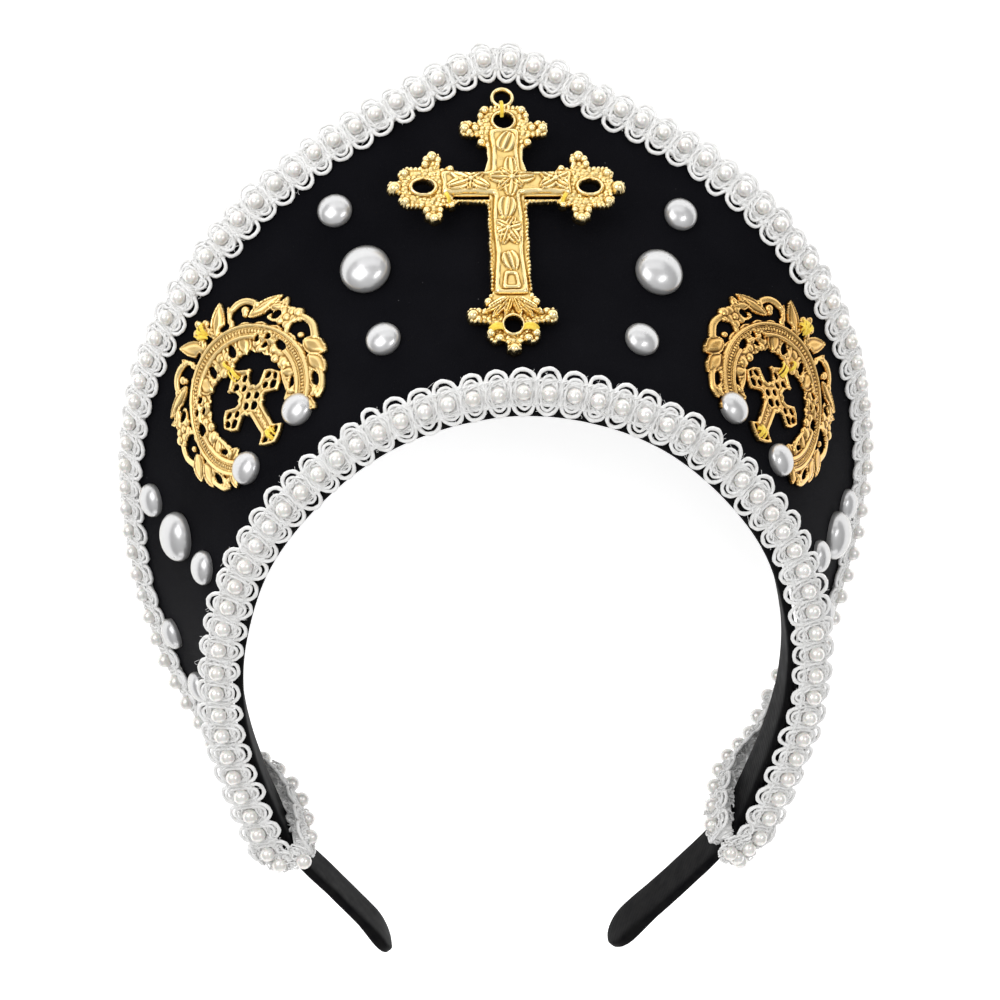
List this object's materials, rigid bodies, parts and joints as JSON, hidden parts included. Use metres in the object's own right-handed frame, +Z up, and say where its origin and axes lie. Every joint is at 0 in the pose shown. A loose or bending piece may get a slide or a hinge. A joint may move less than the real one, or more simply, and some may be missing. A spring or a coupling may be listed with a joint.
{
  "type": "crown headband",
  "caption": "Headband with a tall velvet halo edged in pearl lace, dressed with half-round pearls, a gilt cross and two pierced gilt wreaths, worn as a crown.",
  "frame": {"origin": "middle of the footprint, on the surface the crown lies on", "axes": "+X to the right as seen from the front of the crown with the peak up in view, +Y towards the halo's peak, +Z up; the crown lies on its back with its front face up"},
  "size_m": [0.198, 0.2335, 0.0842],
  "materials": {
    "satin_band": "satin-covered, padded",
    "black_velvet": "matte velvet over a stiff board",
    "pearl_lace": "crocheted cord with beads",
    "pearl": "pearlescent",
    "bright_gilt": "bright gilt casting",
    "dark_gilt": "antique gilt stamping"
  },
  "bodies": {
    "root": {"back_trim": "pearl_lace", "cross": "bright_gilt", "halo_panel": "black_velvet", "headband": "satin_band", "inner_trim": "pearl_lace", "outer_trim": "pearl_lace", "pearl_low_inner_left": "pearl", "pearl_low_inner_right": "pearl", "pearl_low_outer_left": "pearl", "pearl_low_outer_right": "pearl", "pearl_side_big_left": "pearl", "pearl_side_big_right": "pearl", "pearl_side_inner_left": "pearl", "pearl_side_inner_right": "pearl", "pearl_side_outer_left": "pearl", "pearl_side_outer_right": "pearl", "pearl_upper_big_left": "pearl", "pearl_upper_big_right": "pearl", "pearl_upper_inner_left": "pearl", "pearl_upper_inner_right": "pearl", "pearl_upper_outer_left": "pearl", "pearl_upper_outer_right": "pearl", "pearl_wreath_lower_left": "pearl", "pearl_wreath_lower_right": "pearl", "pearl_wreath_upper_left": "pearl", "pearl_wreath_upper_right": "pearl", "small_cross_left": "dark_gilt", "small_cross_right": "dark_gilt", "wreath_left": "dark_gilt", "wreath_right": "dark_gilt"}
  },
  "joints": []
}
